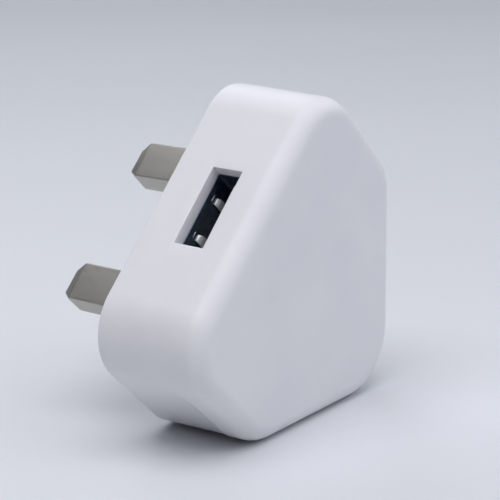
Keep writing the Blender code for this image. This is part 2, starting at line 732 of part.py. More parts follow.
# --- Other parts on the board -----------------------------------------------------------------

def make_capacitor(name, x, low, high, radius, pitch):
    """A can lying on the board, with the crimped neck near its sealed end."""
    profile = ((0.0, high), (radius - CAPACITOR_CRIMP, high), (radius, high - 0.6 * MM),
               (radius, high - 1.4 * MM), (radius - CAPACITOR_CRIMP, high - 1.9 * MM),
               (radius, high - 2.4 * MM), (radius, low + 0.4 * MM), (radius - 0.4 * MM, low),
               (0.0, low))
    level = SEAT_Y - radius
    can = turned(name, profile, (x, level, 0.0), Matrix.Rotation(pi / 24, 4, 'Z'))
    paths = [bent_path(lead_x, high - MM, level, 0.0, LEAD_RUN + MM)
             for lead_x in (x - pitch / 2, x + pitch / 2)]
    join(can, wires(name + "_leads", paths))


def turned(name, profile, centre, turn, segments=24):
    """A closed turned piece. Its profile of (radius, height) runs top to bottom."""
    mesh = bpy.data.meshes.new(name)
    mesh.from_pydata([(r, 0.0, h) for r, h in profile],
                     [(i, i + 1) for i in range(len(profile) - 1)], [])
    piece = add_object(name, mesh)
    spin = piece.modifiers.new("turned profile", 'SCREW')
    spin.angle = 2 * pi
    spin.steps = segments
    spin.render_steps = segments
    spin.use_merge_vertices = True
    spin.merge_threshold = 1e-6
    spin.use_smooth_shade = True
    piece.matrix_world = Matrix.Translation(centre) @ turn
    return piece


def make_choke():
    """A ferrite drum standing on the board, and the wire wound round its neck."""
    x, z = CHOKE_CENTRE
    drum = ((0.0, CHOKE_HEIGHT), (CHOKE_RADIUS, CHOKE_HEIGHT),
            (CHOKE_RADIUS, CHOKE_HEIGHT - CHOKE_RIM), (CHOKE_NECK, CHOKE_HEIGHT - CHOKE_RIM),
            (CHOKE_NECK, CHOKE_RIM), (CHOKE_RADIUS, CHOKE_RIM), (CHOKE_RADIUS, 0.0), (0.0, 0.0))
    core = turned("choke_core", drum, (x, SEAT_Y, z), Matrix.Rotation(pi / 2, 4, 'X'))
    join_straight_leads(core, pair(CHOKE_CENTRE, CHOKE_PITCH, True), SEAT_Y - CHOKE_RIM / 2)
    low, high = SEAT_Y - CHOKE_RIM - GAP, SEAT_Y - CHOKE_HEIGHT + CHOKE_RIM + GAP
    coil = cylinder("choke_winding", (x, low, z), (x, high, z), CHOKE_RADIUS - GAP)
    cut(coil, cylinder("choke_winding_bore", (x, low + MM, z), (x, high - MM, z),
                       CHOKE_NECK + GAP, tool=True))


def flat_part(name, centre, size, seat, outward, edge):
    """A small moulded part on one side of the board: outward is -1 on the front."""
    low, high = sorted((seat, seat + outward * size[1]))
    part = box(name, (centre[0] - size[0] / 2, low, centre[1] - size[2] / 2),
               (centre[0] + size[0] / 2, high, centre[1] + size[2] / 2))
    if edge:
        bevel(part, edge, 1)


def make_round_parts():
    x, z = INDUCTOR_CENTRE
    inductor = cylinder("filter_inductor", (x, SEAT_Y, z), (x, SEAT_Y - INDUCTOR_HEIGHT, z),
                        INDUCTOR_RADIUS)
    bevel(inductor, 0.4 * MM)
    places = pair(INDUCTOR_CENTRE, INDUCTOR_PITCH, True)
    join_straight_leads(inductor, places, SEAT_Y - INDUCTOR_HEIGHT / 2)
    x, z = DISC_CENTRE
    level = SEAT_Y - DISC_RADIUS
    disc = cylinder("safety_capacitor", (x - DISC_THICKNESS / 2, level, z),
                    (x + DISC_THICKNESS / 2, level, z), DISC_RADIUS)
    bevel(disc, 0.9 * MM)
    join_straight_leads(disc, pair(DISC_CENTRE, DISC_PITCH, False), level)
    level = SEAT_Y - RESISTOR_RADIUS
    fuse = cylinder("fusible_resistor", (-RESISTOR_HALF_LENGTH, level, RESISTOR_Z),
                    (RESISTOR_HALF_LENGTH, level, RESISTOR_Z), RESISTOR_RADIUS)
    bevel(fuse, 0.5 * MM)
    root, run = RESISTOR_HALF_LENGTH - MM, LEAD_RUN + MM
    paths = [bent_path(side * root, RESISTOR_Z, level, side * run, 0.0) for side in (-1, 1)]
    join(fuse, wires("fusible_resistor_leads", paths))


def make_board_parts():
    for capacitor in CAPACITORS:
        make_capacitor(*capacitor)
    make_choke()
    make_round_parts()
    flat_part("schottky_diode", DIODE_CENTRE, DIODE_SIZE, SEAT_Y, -1, 0.3 * MM)
    flat_part("bridge_rectifier", BRIDGE_CENTRE, BRIDGE_SIZE, UNDER_Y, 1, 0.2 * MM)
    flat_part("controller_chip", CHIP_CENTRE, CHIP_SIZE, UNDER_Y, 1, 0.2 * MM)
    for name, centre in CHIP_PARTS:
        flat_part(name, centre, CHIP_PART_SIZE, UNDER_Y, 1, 0.0)


# --- Materials -----------------------------------------------------------------------------------

def case_plastic():
    return material("case_plastic", (0.82, 0.82, 0.84), 0.35)


def plate_plastic():
    return material("plate_plastic", (0.80, 0.80, 0.82), 0.45)


def pin_metal():
    return material("pin_metal", (0.55, 0.53, 0.49), 0.3, 1.0)


def shell_steel():
    return material("shell_steel", (0.6, 0.6, 0.62), 0.25, 1.0)


def spring_bronze():
    return material("spring_bronze", (0.72, 0.5, 0.28), 0.35, 1.0)


def contact_gold():
    return material("contact_gold", (0.85, 0.66, 0.3), 0.25, 1.0)


def tongue_plastic():
    return material("tongue_plastic", (0.75, 0.76, 0.78), 0.5)


def board_laminate():
    return material("board_laminate", (0.05, 0.22, 0.09), 0.5)


def ferrite():
    return material("ferrite", (0.06, 0.06, 0.065), 0.6)


def bobbin_plastic():
    return material("bobbin_plastic", (0.03, 0.03, 0.03), 0.5)


def copper_wire():
    return material("copper_wire", (0.7, 0.3, 0.12), 0.35, 1.0)


def yellow_tape():
    return material("yellow_tape", (0.85, 0.65, 0.08), 0.4)


def capacitor_sleeve():
    return material("capacitor_sleeve", (0.03, 0.03, 0.05), 0.4)


def chip_epoxy():
    return material("chip_epoxy", (0.025, 0.025, 0.025), 0.55)


def blue_coating():
    return material("blue_coating", (0.05, 0.2, 0.55), 0.4)


def resistor_coating():
    return material("resistor_coating", (0.25, 0.5, 0.35), 0.5)


def inductor_sleeve():
    return material("inductor_sleeve", (0.04, 0.04, 0.04), 0.5)


def chip_ceramic():
    return material("chip_ceramic", (0.6, 0.52, 0.42), 0.5)


FINISHES = (
    (case_plastic, ("case",)),
    (plate_plastic, ("pin_plate",)),
    (pin_metal, ("live_pin", "neutral_pin", "earth_pin")),
    (spring_bronze, ("live_contact", "neutral_contact")),
    (shell_steel, ("usb_shell",)),
    (tongue_plastic, ("usb_insulator",)),
    (contact_gold, ("usb_contact_1", "usb_contact_2", "usb_contact_3", "usb_contact_4")),
    (board_laminate, ("main_board",)),
    (ferrite, ("transformer_core_a", "transformer_core_b", "choke_core")),
    (bobbin_plastic, ("transformer_bobbin",)),
    (copper_wire, ("transformer_winding", "choke_winding")),
    (yellow_tape, ("transformer_tape",)),
    (capacitor_sleeve, ("bulk_capacitor_a", "bulk_capacitor_b", "output_capacitor")),
    (chip_epoxy, ("schottky_diode", "bridge_rectifier", "controller_chip")),
    (blue_coating, ("safety_capacitor",)),
    (resistor_coating, ("fusible_resistor",)),
    (inductor_sleeve, ("filter_inductor",)),
    (chip_ceramic, tuple(name for name, _ in CHIP_PARTS)),
)


def paint():
    for finish, names in FINISHES:
        made = finish()
        for name in names:
            obj = bpy.data.objects[name]
            obj.data.materials.clear()
            obj.data.materials.append(made)


# --- The charger at rest -------------------------------------------------------------------------

def resting_turn():
    """Turn the +x flank down. The flank leans by the moulding taper, so the whole
    charger tips by the same small angle to lie flat on it."""
    flank_distance = (APEX_Z - TAPER_Z) / sqrt(2)
    lean = atan(TAPER * flank_distance / DEPTH)
    return Matrix.Rotation(lean, 4, 'X') @ Matrix.Rotation(3 * pi / 4, 4, 'Y')


def lay_down():
    """Parent every piece to one empty, which lies the charger on its flank with
    the middle of its box over the origin."""
    stand = bpy.data.objects.new("charger_stand", None)
    collection(PARTS).objects.link(stand)
    pieces = [obj for obj in collection(PARTS).objects if obj.type == 'MESH']
    for obj in pieces + list(collection(CUTTERS).objects):
        obj.parent = stand
    turn = resting_turn()
    stand.matrix_world = turn
    bpy.context.view_layer.update()
    graph = bpy.context.evaluated_depsgraph_get()
    low, high = Vector((1, 1, 1)), Vector((-1, -1, -1))
    for obj in pieces:
        shape = obj.evaluated_get(graph)
        for vertex in shape.data.vertices:
            place = shape.matrix_world @ vertex.co
            low = Vector(map(min, low, place))
            high = Vector(map(max, high, place))
    shift = Vector((-(low.x + high.x) / 2, -(low.y + high.y) / 2, -low.z))
    stand.matrix_world = Matrix.Translation(shift) @ turn
    return stand


def main():
    clear_scene()
    make_case()
    make_pin_plate()
    for pin in pin_sizes():
        make_pin(*pin)
    make_pin_contact("live_contact", 1)
    make_pin_contact("neutral_contact", -1)
    make_usb_shell()
    make_usb_insulator()
    make_usb_contacts()
    make_main_board()
    make_transformer()
    make_board_parts()
    paint()
    return lay_down()


if __name__ == "__main__":
    main()
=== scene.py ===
"""The finished look of a three-pin USB wall charger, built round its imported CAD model.

Shapes are drawn in the plug's own directions, in millimetres: x along the line through
the live and neutral pins, +y the way the pins point, z from the USB side to the earth
pin, with the face that meets the wall at y = 0. PLUG lays them down as the CAD lies.
"""

import json
from math import atan, ceil, cos, pi, sin, sqrt, tan

import bmesh
import bpy
from mathutils import Matrix, Vector


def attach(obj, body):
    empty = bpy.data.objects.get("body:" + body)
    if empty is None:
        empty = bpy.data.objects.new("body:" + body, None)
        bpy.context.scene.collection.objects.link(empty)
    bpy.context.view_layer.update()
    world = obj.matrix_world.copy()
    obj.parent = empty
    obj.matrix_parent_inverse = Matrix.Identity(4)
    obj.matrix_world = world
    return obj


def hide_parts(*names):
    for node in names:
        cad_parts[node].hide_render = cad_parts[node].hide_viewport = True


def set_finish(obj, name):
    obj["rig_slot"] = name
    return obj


# Case, as in the CAD model.
HALF_WIDTH, SHOULDER_Z, APEX_Z = 24.7, 24.0, 48.7
BASE_RADIUS, SHOULDER_RADIUS, APEX_RADIUS = 8.5, 8.0, 10.4
DEPTH, WALL = 17.8, 1.8
TAPER, TAPER_Z = 0.022, 22.2
FILLET_DEPTH, FILLET_INSET = 3.0, 2.7
BACK_EDGE, MOUTH_EDGE, INNER_FILLET = 0.3, 0.1, 0.6

# Finger grips.
GRIP_DEPTH, GRIP_SIDE_REACH, GRIP_FLANK_REACH, GRIP_SQUARENESS = 0.15, 14.0, 10.0, 6
LEDGE_Y, LEDGE_BOW, LEDGE_HEIGHT, LEDGE_BEAD, LEDGE_REST_Y = -11.2, 1.5, 0.09, 0.03, -12.7

# USB socket.
SLOT_Y, SLOT_HALF_X, SLOT_HALF_Y, SLOT_CORNER, SLOT_LIP = -8.85, 6.4, 2.56, 0.15, 0.06
SLOT_COLUMN_X, SLOT_ROW_Y = 8.0, -5.5
SHELL_HALF_X, SHELL_HALF_Y, SHELL_SHEET = 6.47, 2.62, 0.3
SHELL_START_Z, SHELL_END_Z = 2.08, 16.0
LATCH_XS, LATCH_WIDTH = (-3.1, 3.1), 1.4

SOCKET_CORNER = 0.45
LATCH_SHEET, LATCH_SOFTNESS, LATCH_CREST, LATCH_CREST_Z, LATCH_ROOT_Z = 0.26, 0.07, 0.5, 5.2, 10.3
LIP_Z, LIP_HALF, LIP_RISE = 3.35, 0.06, 0.05
WINDOW_GAP, WINDOW_Z, WINDOW_HALF_Z = 0.09, 6.85, 3.05

# Pins: name, x, z, half width along x, half width along z, length.
PINS = (
    ("live_pin", 11.115, 11.5, 3.175, 1.985, 17.7),
    ("neutral_pin", -11.115, 11.5, 3.175, 1.985, 17.7),
    ("earth_pin", 0.0, 33.73, 1.985, 3.975, 22.7),
)
TIP_LENGTH, TIP_TAPER, PIN_EDGE = 2.0, 1.13, 0.3
PIN_ROOT_Y, TIP_EASE, TIP_ROUND = -2.45, 0.12, 0.3
PLATE_INSET, PLATE_THICKNESS, PLATE_EDGE, PIN_GAP = 1.9, 2.2, 0.12, 0.07

# Stage: floor colours and radii in metres, then the camera in plug directions, its
# place in millimetres.
FLOOR_DARK, FLOOR_LIGHT = (0.70, 0.715, 0.74), (0.72, 0.735, 0.76)
FLOOR_RADII, FLOOR_POINTS = (0.3, 0.7, 1.3), 48
CAMERA_PLACE = (81.49, -146.2, -157.26)
CAMERA_RIGHT, CAMERA_FORWARD = (-0.420, -0.795, 0.438), (-0.352, 0.588, 0.728)
LENS, SENSOR = 116.0064, 36.0

# Studio lights: name, place and target in metres, side of the square, watts, colour.
LIGHTS = (
    ("overhead", (-0.15, -0.05, 0.6), (0.0, 0.0, 0.0), 0.5, 2.10, (0.967, 0.958, 1.0)),
    ("ceiling", (-0.1, 0.0, 1.6), (0.0, 0.0, 0.0), 2.4, 1.77, (0.989, 0.989, 1.0)),
    ("left_high", (-0.45, 0.1, 0.8), (0.0, 0.0, 0.0), 0.6, 1.35, (0.90, 0.925, 1.0)),
    ("front_left", (-0.05, -0.5, 0.85), (0.0, 0.0, 0.0), 0.6, 0.62, (0.966, 0.97, 1.0)),
    ("front_right", (0.2, -0.6, 0.8), (0.0, 0.0, 0.0), 0.6, 1.25, (0.915, 0.934, 1.0)),
    ("front", (0.25, -0.9, 0.5), (0.0, 0.0, 0.02), 0.7, 1.44, (0.825, 0.86, 1.0)),
    ("right", (0.9, -0.2, 0.6), (0.0, 0.0, 0.02), 0.7, 2.19, (0.889, 0.929, 1.0)),
    ("back", (0.5, 0.8, 0.7), (0.0, 0.0, 0.02), 0.7, 3.29, (0.879, 0.923, 1.0)),
)


def millimetres_to_row():
    """The matrix from plug millimetres to the row frame, set by where the CAD's live
    pin lies."""
    lean = atan(TAPER * (APEX_Z - TAPER_Z) / sqrt(2) / DEPTH)
    turn = Matrix.Rotation(lean, 4, 'X') @ Matrix.Rotation(3 * pi / 4, 4, 'Y')
    back = turn.inverted()
    points = [back @ vertex.co for vertex in frame["nodes"]["live_pin"].data.vertices]
    _, x, z, half_x, half_z, length = PINS[0]
    blade = [point for point in points if point.y > max(p.y for p in points) - 0.012]
    middle = Vector((sum((min(p.x for p in blade), max(p.x for p in blade))) / 2,
                     max(p.y for p in blade),
                     sum((min(p.z for p in blade), max(p.z for p in blade))) / 2))
    shift = turn @ (middle - Vector((x, length, z)) / 1000)
    return Matrix.Translation(shift) @ turn @ Matrix.Scale(0.001, 4)


# --- Mesh helpers ------------------------------------------------------------------

def add_piece(name, bm, slot, replaces=(), sharp=35):
    """A finished mesh in plug millimetres becomes a piece in the row frame."""
    bmesh.ops.recalc_face_normals(bm, faces=bm.faces)
    mesh = bpy.data.meshes.new(name)
    bm.to_mesh(mesh)
    bm.free()
    mesh.transform(PLUG)
    mesh.shade_smooth()
    mesh.set_sharp_from_angle(angle=sharp * pi / 180)
    piece = bpy.data.objects.new(name, mesh)
    bpy.context.scene.collection.objects.link(piece)
    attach(piece, "root")
    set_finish(piece, slot)
    if replaces:
        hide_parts(*replaces)
    return piece


def loft(bm, rings, skip=()):
    """Quads between equal closed rings of vertices. skip holds (ring, column) to leave
    open."""
    for j, (lower, upper) in enumerate(zip(rings, rings[1:])):
        count = len(lower)
        for i in range(count):
            if (j, i) not in skip:
                k = (i + 1) % count
                bm.faces.new((lower[i], lower[k], upper[k], upper[i]))


def cap_ends(bm, rings):
    bm.faces.new(rings[0])
    bm.faces.new(rings[-1])


def verts(bm, points):
    return [bm.verts.new(point) for point in points]


def loop_edges(bm, loop):
    """The edges round a loop of vertices, made where there are none."""
    edges = []
    for a, b in zip(loop, loop[1:] + loop[:1]):
        edge = bm.edges.get((a, b))
        edges.append(edge if edge else bm.edges.new((a, b)))
    return edges


def fill_between(bm, loops, normal):
    """Flat faces between an outer loop and the holes in it."""
    edges = [edge for loop in loops for edge in loop_edges(bm, loop)]
    bmesh.ops.triangle_fill(bm, use_beauty=True, use_dissolve=False, edges=edges, normal=normal)


def rounded_rect(centre, half, radius, steps=5):
    """Anticlockwise (u, v) points of a rectangle with rounded corners."""
    points = []
    for turn, (su, sv) in enumerate(((1, 1), (-1, 1), (-1, -1), (1, -1))):
        cu = centre[0] + su * (half[0] - radius)
        cv = centre[1] + sv * (half[1] - radius)
        for step in range(steps + 1):
            angle = pi / 2 * (turn + step / steps)
            points.append((cu + radius * cos(angle), cv + radius * sin(angle)))
    return points


def smooth(t):
    """0 to 1, level at both ends."""
    t = min(1.0, max(0.0, t))
    return t * t * (3 - 2 * t)


# --- Case outline --------------------------------------------------------------------

def corner_arc(before, corner, after, radius):
    """(point, outward normal) along the arc that rounds a corner."""
    to_before = (before - corner).normalized()
    to_after = (after - corner).normalized()
    half = to_before.angle(to_after) / 2
    centre = corner + (to_before + to_after).normalized() * (radius / sin(half))
    start = corner + to_before * (radius / tan(half)) - centre
    turn = pi - 2 * half
    steps = ceil(turn / (pi / 60))
    for step in range(steps + 1):
        angle = turn * step / steps
        spoke = Vector((start.x * cos(angle) - start.y * sin(angle),
                        start.x * sin(angle) + start.y * cos(angle)))
        yield centre + spoke, spoke.normalized()


def outline_stations():
    """Stations round the back of the case: (point, normal, distance run), and the
    distances at the middles of the right and left shoulders."""
    corners = [Vector(c) for c in ((-HALF_WIDTH, 0.0), (HALF_WIDTH, 0.0),
                                   (HALF_WIDTH, SHOULDER_Z), (0.0, APEX_Z),
                                   (-HALF_WIDTH, SHOULDER_Z))]
    radii = (BASE_RADIUS, BASE_RADIUS, SHOULDER_RADIUS, APEX_RADIUS, SHOULDER_RADIUS)
    places = []
    middles = []
    for index, radius in enumerate(radii):
        arc = list(corner_arc(corners[index - 1], corners[index],
                              corners[(index + 1) % 5], radius))
        middles.append(arc[len(arc) // 2][0])
        places.append(arc)
    stations = []
    for index, arc in enumerate(places):
        stations += arc
        (start, normal), (end, _) = arc[-1], places[(index + 1) % 5][0]
        length = (end - start).length
        if index == 0:
            shares = [(x - start.x) / length for x in (-15.8, -12.0, -SLOT_COLUMN_X,
                                                       SLOT_COLUMN_X, 12.0, 15.8)]
        else:
            count = round(length / 0.6)
            shares = [step / count for step in range(1, count)]
        stations += [(start.lerp(end, share), normal) for share in shares]
    run, made = 0.0, []
    for index, (point, normal) in enumerate(stations):
        run += (point - stations[index - 1][0]).length if index else 0.0
        made.append((point, normal, run))
    near = [min(made, key=lambda s: (s[0] - middles[k]).length)[2] for k in (2, 4)]
    return made, near


def tapered(point, normal, inset, y):
    """A point on the case, inset from the outline at depth y."""
    scale = 1.0 + TAPER * min(y, 0.0) / DEPTH
    x, z = point.x - normal.x * inset, point.y - normal.y * inset
    return Vector((x * scale, y, TAPER_Z + (z - TAPER_Z) * scale))


def quarter(steps):
    """(sine, cosine) at even steps of a quarter turn."""
    return [(sin(pi / 2 * k / steps), cos(pi / 2 * k / steps)) for k in range(steps + 1)]


def grip_at(run, middles):
    """(depth, ledge y) of the finger grip at a distance round the outline."""
    right, left = run - middles[0], middles[1] - run
    distance = right if abs(right) < abs(left) else left
    reach = GRIP_FLANK_REACH if distance > 0.0 else GRIP_SIDE_REACH
    fade = 1.0 - min(1.0, abs(distance) / reach) ** GRIP_SQUARENESS
    beyond = smooth((abs(distance) - reach) / 6.0)
    ledge = LEDGE_Y - LEDGE_BOW * fade
    return GRIP_DEPTH * fade, ledge + (LEDGE_REST_Y - ledge) * beyond


def outer_profile(depth, ledge):
    """(inset, y) from the front face, round the fillet, over the grip's ledge and back
    to the rim."""
    profile = [(FILLET_INSET + 0.3, -DEPTH)]
    profile += [(FILLET_INSET * (1 - s), -DEPTH + FILLET_DEPTH * (1 - c)) for s, c in quarter(14)]
    profile += [(0.0, -DEPTH + FILLET_DEPTH + 0.35)]
    bead = LEDGE_BEAD * depth / GRIP_DEPTH
    for run, rise in ((-0.55, 0.0), (-0.3, 0.25), (-0.16, 0.7), (-0.08, 1.0), (-0.03, 0.85)):
        profile.append((-bead * rise, ledge + run))
    for share in (0.0, 0.25, 0.5, 0.75, 1.0):
        profile.append((-0.5 * bead * (1 - share) + depth * smooth(share),
                        ledge + LEDGE_HEIGHT * share))
    profile += [(depth, SLOT_ROW_Y), (depth, -2.5), (depth, -BACK_EDGE - 0.2)]
    profile += [(depth + BACK_EDGE * (1 - c), -BACK_EDGE * (1 - s)) for s, c in quarter(5)]
    return profile


def inner_profile():
    """(inset, y) from the rim, into the mouth and along the cavity to its end."""
    profile = [(WALL - MOUTH_EDGE * c, -MOUTH_EDGE * (1 - c) if c < 1 else 0.0)
               for _, c in quarter(3)]
    profile += [(WALL, -2.6), (WALL, SLOT_ROW_Y), (WALL, LEDGE_REST_Y)]
    end = -DEPTH + WALL
    profile += [(WALL + INNER_FILLET * (1 - c), end + INNER_FILLET * (1 - s))
                for s, c in quarter(4)]
    return profile


def slot_rings(bm):
    """The USB opening: a rounded lip at the outside, then straight walls."""
    rings = []
    lip = [(SLOT_LIP * (1 - s), SLOT_LIP * (1 - c)) for s, c in quarter(4)]
    for outset, depth in lip + [(0.0, WALL)]:
        outline = rounded_rect((0.0, SLOT_Y), (SLOT_HALF_X + outset, SLOT_HALF_Y + outset),
                               SLOT_CORNER + outset)
        ring = []
        for x, y in outline:
            scale = 1.0 + TAPER * y / DEPTH
            full = WALL * scale if depth == WALL else depth
            ring.append((x, y, TAPER_Z * (1 - scale) + full))
        rings.append(verts(bm, ring))
    loft(bm, rings)
    return rings[0], rings[-1]


def make_case():
    stations, middles = outline_stations()
    bm = bmesh.new()
    columns = []
    for point, normal, run in stations:
        profile = outer_profile(*grip_at(run, middles)) + inner_profile()
        columns.append([tapered(point, normal, inset, y) for inset, y in profile])
    rings = [verts(bm, ring) for ring in zip(*columns)]
    outer = outer_profile(0.0, LEDGE_REST_Y)
    inner = outer + inner_profile()
    outer_row = [y for _, y in outer].index(SLOT_ROW_Y) - 1
    inner_row = [y for _, y in inner].index(SLOT_ROW_Y, len(outer))
    column = next(i for i, (point, _, _) in enumerate(stations)
                  if point.y < 1e-6 and abs(point.x + SLOT_COLUMN_X) < 1e-6)
    loft(bm, rings, skip={(outer_row, column), (inner_row, column)})
    cap_ends(bm, rings)
    mouth, throat = slot_rings(bm)
    for row, loop, normal in ((outer_row, mouth, (0, 0, -1)), (inner_row, throat, (0, 0, 1))):
        cell = [rings[row][column], rings[row][column + 1],
                rings[row + 1][column + 1], rings[row + 1][column]]
        fill_between(bm, (cell, loop), normal)
    return add_piece("case_shell", bm, "case_plastic", ("case",), sharp=60)


# --- Pin plate and pins ------------------------------------------------------------------

def make_pin_plate():
    """A flat plate in the case's mouth, with an aperture for each pin."""
    stations, _ = outline_stations()
    bm = bmesh.new()
    edge = [(PLATE_EDGE * (1 - s), -PLATE_EDGE * (1 - c)) for s, c in quarter(4)]
    profile = [(PLATE_INSET + inset, y) for inset, y in edge] + [(PLATE_INSET, -PLATE_THICKNESS)]
    columns = [[tapered(point, normal, inset, y) for inset, y in profile]
               for point, normal, _ in stations]
    rings = [verts(bm, ring) for ring in zip(*columns)]
    loft(bm, rings)
    tops, bottoms = [rings[0]], [rings[-1]]
    for _, x, z, half_x, half_z, _ in PINS:
        hole = []
        for inset, y in edge + [(0.0, -PLATE_THICKNESS)]:
            grow = PIN_GAP + inset
            outline = rounded_rect((x, z), (half_x + grow, half_z + grow), PIN_EDGE + grow)
            hole.append(verts(bm, [(u, y, v) for u, v in outline]))
        loft(bm, hole)
        tops.append(hole[0])
        bottoms.append(hole[-1])
    fill_between(bm, tops, (0, 1, 0))
    fill_between(bm, bottoms, (0, -1, 0))
    return add_piece("pin_plate_moulding", bm, "plate_plastic", ("pin_plate",), sharp=50)


def pin_profile(length):
    """(shrink, y) along a blade: straight, eased into the tapered tip, rounded end."""
    knee, slope = length - TIP_LENGTH, TIP_TAPER / TIP_LENGTH
    end = slope * (TIP_LENGTH - TIP_ROUND)
    profile = [(0.0, PIN_ROOT_Y), (0.0, 0.0), (0.0, knee - 0.6), (0.0, knee - TIP_EASE),
               (slope * TIP_EASE / 8, knee), (slope * TIP_EASE, knee + TIP_EASE),
               (end, length - TIP_ROUND)]
    profile += [(end + 0.16 * (1 - c) + 0.1 * s, length - TIP_ROUND + TIP_ROUND * s)
                for s, c in quarter(4)[1:]]
    return profile


def make_pin(name, x, z, half_x, half_z, length):
    bm = bmesh.new()
    rings = []
    for shrink, y in pin_profile(length):
        outline = rounded_rect((x, z), (half_x - shrink, half_z - shrink), PIN_EDGE)
        rings.append(verts(bm, [(u, y, v) for u, v in outline]))
    loft(bm, rings)
    cap_ends(bm, rings)
    return add_piece(name + "_blade", bm, "pin_metal", (name,), sharp=50)


# --- USB socket -------------------------------------------------------------------------------

def latch_path():
    """(z, bulge) along a latch spring: a ramp up from its root, over a crest, then a
    tip rolled back towards the wall."""
    length = LATCH_ROOT_Z - LATCH_CREST_Z
    ramp_up = [(LATCH_ROOT_Z - length * k / 12, LATCH_CREST * smooth(k / 12))
               for k in range(13)]
    rolled = [(LATCH_CREST_Z - 1.05 * s, LATCH_CREST - 0.55 * (1 - c))
              for s, c in quarter(8)[1:]]
    return ramp_up + rolled


def add_latch(bm, x, side):
    """One bent tongue of sheet metal on the wide wall at y = SLOT_Y + side * half."""
    wall = SLOT_Y + side * SHELL_HALF_Y
    soft = LATCH_SOFTNESS
    rings = []
    for index, (z, bulge) in enumerate(latch_path()):
        half = LATCH_WIDTH / 2 - 0.2 * smooth((index - 13.0) / 7.0)
        inner = wall - side * bulge
        outer = inner + side * LATCH_SHEET
        ring = [(x - half + soft, inner, z), (x + half - soft, inner, z),
                (x + half, inner + side * soft, z), (x + half, outer - side * soft, z),
                (x + half - soft, outer, z), (x - half + soft, outer, z),
                (x - half, outer - side * soft, z), (x - half, inner + side * soft, z)]
        rings.append(verts(bm, ring))
    loft(bm, rings)
    cap_ends(bm, rings)


def add_lip(bm, x, side):
    """A low rounded ridge across the sheet, sunk a little way into it."""
    wall = SLOT_Y + side * SHELL_HALF_Y
    sunk = wall + side * 0.05
    rings = []
    for share in (0.0, 0.12, 0.5, 0.88, 1.0):
        along = x + LATCH_WIDTH * 0.7 * (share - 0.5)
        rise = LIP_RISE * min(1.0, 8.0 * min(share, 1.0 - share))
        ring = []
        for step in range(9):
            angle = pi * step / 8
            ring.append((along, wall - side * rise * sin(angle), LIP_Z + LIP_HALF * cos(angle)))
        ring += [(along, sunk, LIP_Z - LIP_HALF), (along, sunk, LIP_Z + LIP_HALF)]
        rings.append(verts(bm, ring))
    loft(bm, rings)
    cap_ends(bm, rings)


def shell_tube(bm):
    """The socket's sleeve: one sheet bent round, with a softened front edge."""
    soft = 0.1
    sections = ((0.0, SHELL_END_Z), (0.0, SHELL_START_Z + soft), (soft, SHELL_START_Z),
                (SHELL_SHEET - soft, SHELL_START_Z), (SHELL_SHEET, SHELL_START_Z + soft),
                (SHELL_SHEET, SHELL_END_Z))
    rings = []
    for outset, z in sections:
        outline = rounded_rect((0.0, SLOT_Y), (SHELL_HALF_X + outset, SHELL_HALF_Y + outset),
                               SOCKET_CORNER + outset)
        rings.append(verts(bm, [(u, v, z) for u, v in outline]))
    loft(bm, rings + rings[:1])


def window_box(bm, x):
    """What is cut through both wide walls of the shell behind its latches at x."""
    outline = rounded_rect((x, WINDOW_Z), (LATCH_WIDTH / 2 + WINDOW_GAP, WINDOW_HALF_Z), 0.2)
    rings = [verts(bm, [(u, y, v) for u, v in outline]) for y in (SLOT_Y - 4.0, SLOT_Y + 4.0)]
    loft(bm, rings)
    cap_ends(bm, rings)


def evaluated_difference(bm, cutter):
    """bm with the closed mesh cutter taken out of it."""
    made = []
    for source in (bm, cutter):
        bmesh.ops.recalc_face_normals(source, faces=source.faces)
        mesh = bpy.data.meshes.new("working")
        source.to_mesh(mesh)
        source.free()
        obj = bpy.data.objects.new("working", mesh)
        bpy.context.scene.collection.objects.link(obj)
        made.append(obj)
    body, tool = made
    step = body.modifiers.new("cut", 'BOOLEAN')
    step.operation = 'DIFFERENCE'
    step.solver = 'EXACT'
    step.object = tool
    graph = bpy.context.evaluated_depsgraph_get()
    result = bmesh.new()
    result.from_mesh(body.evaluated_get(graph).data)
    for obj in made:
        bpy.data.objects.remove(obj, do_unlink=True)
    return result


def make_usb_shell():
    tube, windows = bmesh.new(), bmesh.new()
    shell_tube(tube)
    for x in LATCH_XS:
        window_box(windows, x)
    return add_piece("usb_shell_sheet", evaluated_difference(tube, windows), "shell_steel",
                     ("usb_shell",), sharp=40)


def make_latches():
    """The bent springs, and the stamped lip just ahead of each."""
    bm = bmesh.new()
    for side in (-1, 1):
        for x in LATCH_XS:
            add_latch(bm, x, side)
            add_lip(bm, x, side)
    return add_piece("usb_latch_springs", bm, "shell_steel", ("usb_shell",), sharp=40)


# --- Materials ----------------------------------------------------------------------------------

def node_material(name):
    """A new material, its node tree and its shader."""
    made = bpy.data.materials.new(name)
    made.use_nodes = True
    tree = made.node_tree
    return made, tree, tree.nodes["Principled BSDF"]


def noise(tree, scale, detail, stretch=None):
    """Noise in the row frame, scale in cells per metre. stretch is a (turn, scale)."""
    coords = tree.nodes.new("ShaderNodeTexCoord")
    texture = tree.nodes.new("ShaderNodeTexNoise")
    texture.inputs["Scale"].default_value = scale
    texture.inputs["Detail"].default_value = detail
    source = coords.outputs["Object"]
    if stretch:
        mapping = tree.nodes.new("ShaderNodeMapping")
        mapping.inputs["Rotation"].default_value = stretch[0]
        mapping.inputs["Scale"].default_value = stretch[1]
        tree.links.new(source, mapping.inputs["Vector"])
        source = mapping.outputs["Vector"]
    tree.links.new(source, texture.inputs["Vector"])
    return texture.outputs["Fac"]


